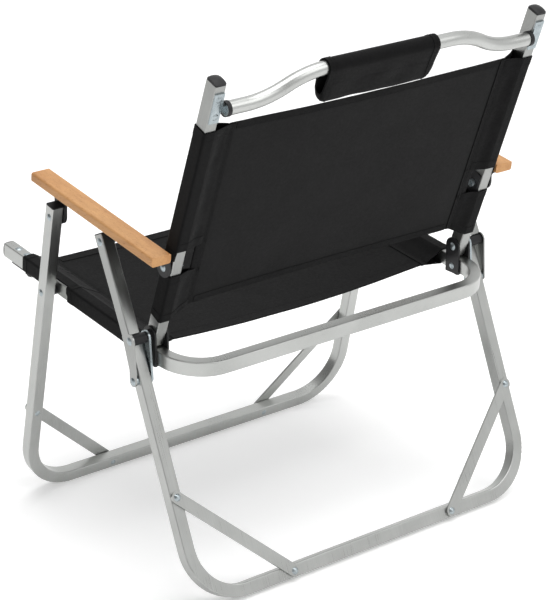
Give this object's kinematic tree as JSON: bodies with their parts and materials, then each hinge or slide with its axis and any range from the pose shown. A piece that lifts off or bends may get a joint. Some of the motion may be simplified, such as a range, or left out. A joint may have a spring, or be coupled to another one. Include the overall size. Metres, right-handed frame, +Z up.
{
  "type": "folding camp chair",
  "caption": "Low folding camp chair with a square aluminium tube frame, slung black fabric seat and back, wooden armrests and a padded carry handle.",
  "frame": {"origin": "on the floor under the middle of the chair, in the middle of its overall width and depth", "axes": "+Z up, the chair faces -Y, the sitter's left is +X"},
  "size_m": [0.598, 0.5078, 0.7048],
  "materials": {
    "anodised_aluminium": "satin anodised, fine drawn grain along the tube",
    "black_plastic": "moulded, lightly textured",
    "zinc_steel": "bright zinc plated, slightly bluish",
    "black_steel": "black powder coat, semi-gloss",
    "beech_wood": "oiled light beech, grain along the arm",
    "black_fabric": "black coated polyester weave, double stitched"
  },
  "bodies": {
    "seat": {"seat_frame_tube": "anodised_aluminium", "seat_end_caps": "black_plastic", "front_crossbar": "anodised_aluminium", "crossbar_brackets": "zinc_steel", "crossbar_rivets": "zinc_steel", "rear_bracket_left": "black_steel", "rear_bracket_right": "black_steel", "bracket_rivets": "zinc_steel", "pivot_pins": "zinc_steel", "pivot_spacers": "black_plastic", "leg_spacers": "black_plastic", "front_pivot_pins": "zinc_steel", "seat_fabric": "black_fabric"},
    "back": {"upright_left": "anodised_aluminium", "upright_right": "anodised_aluminium", "upright_caps": "black_plastic", "handle_tube": "anodised_aluminium", "handle_rings": "black_plastic", "handle_brackets": "zinc_steel", "handle_rivets": "zinc_steel", "back_fabric": "black_fabric", "handle_wrap": "black_fabric", "arm_backing_plates": "black_steel", "arm_washers": "black_plastic", "arm_bolts": "zinc_steel", "arm_nuts": "zinc_steel"},
    "front_legs": {"front_leg_frame": "anodised_aluminium", "front_leg_plugs": "black_plastic", "front_braces": "anodised_aluminium", "front_brace_rivets": "zinc_steel", "arm_front_rivets": "zinc_steel"},
    "rear_legs": {"rear_leg_frame": "anodised_aluminium", "rear_leg_plugs": "black_plastic", "rear_braces": "anodised_aluminium", "rear_brace_rivets": "zinc_steel", "arm_link_left": "anodised_aluminium", "arm_link_right": "anodised_aluminium", "link_plugs": "black_plastic", "link_straps": "anodised_aluminium", "pivot_sleeves": "black_plastic", "ear_washers": "black_plastic", "ear_rivets": "zinc_steel", "link_studs": "zinc_steel"},
    "arm_left": {"arm_wood_left": "beech_wood", "arm_bracket_left": "black_steel", "arm_screws_left": "zinc_steel"},
    "arm_right": {"arm_wood_right": "beech_wood", "arm_bracket_right": "black_steel", "arm_screws_right": "zinc_steel"}
  },
  "joints": [
    {"name": "back_fold", "type": "hinge", "parent": "seat", "child": "back", "pos_m": [0, 0.098, 0.336], "axis": [1, 0, 0], "range_deg": [0, 100]},
    {"name": "front_leg_fold", "type": "hinge", "parent": "seat", "child": "front_legs", "pos_m": [0, -0.1245, 0.328], "axis": [1, 0, 0], "range_deg": [0, 94.5]},
    {"name": "rear_leg_fold", "type": "hinge", "parent": "seat", "child": "rear_legs", "pos_m": [0, 0.098, 0.336], "axis": [1, 0, 0], "range_deg": [0, 54.7]},
    {"name": "arm_left_fold", "type": "hinge", "parent": "back", "child": "arm_left", "pos_m": [0.2842, 0.134, 0.44], "axis": [1, 0, 0], "range_deg": [-97.4, 0]},
    {"name": "arm_right_fold", "type": "hinge", "parent": "back", "child": "arm_right", "pos_m": [-0.2842, 0.134, 0.44], "axis": [1, 0, 0], "range_deg": [-97.4, 0]}
  ],
  "couplings": [
    {"joint": "front_leg_fold", "follows": "back_fold", "ratio": 0.945},
    {"joint": "rear_leg_fold", "follows": "back_fold", "ratio": 0.547},
    {"joint": "arm_left_fold", "follows": "back_fold", "ratio": -0.974},
    {"joint": "arm_right_fold", "follows": "back_fold", "ratio": -0.974}
  ]
}
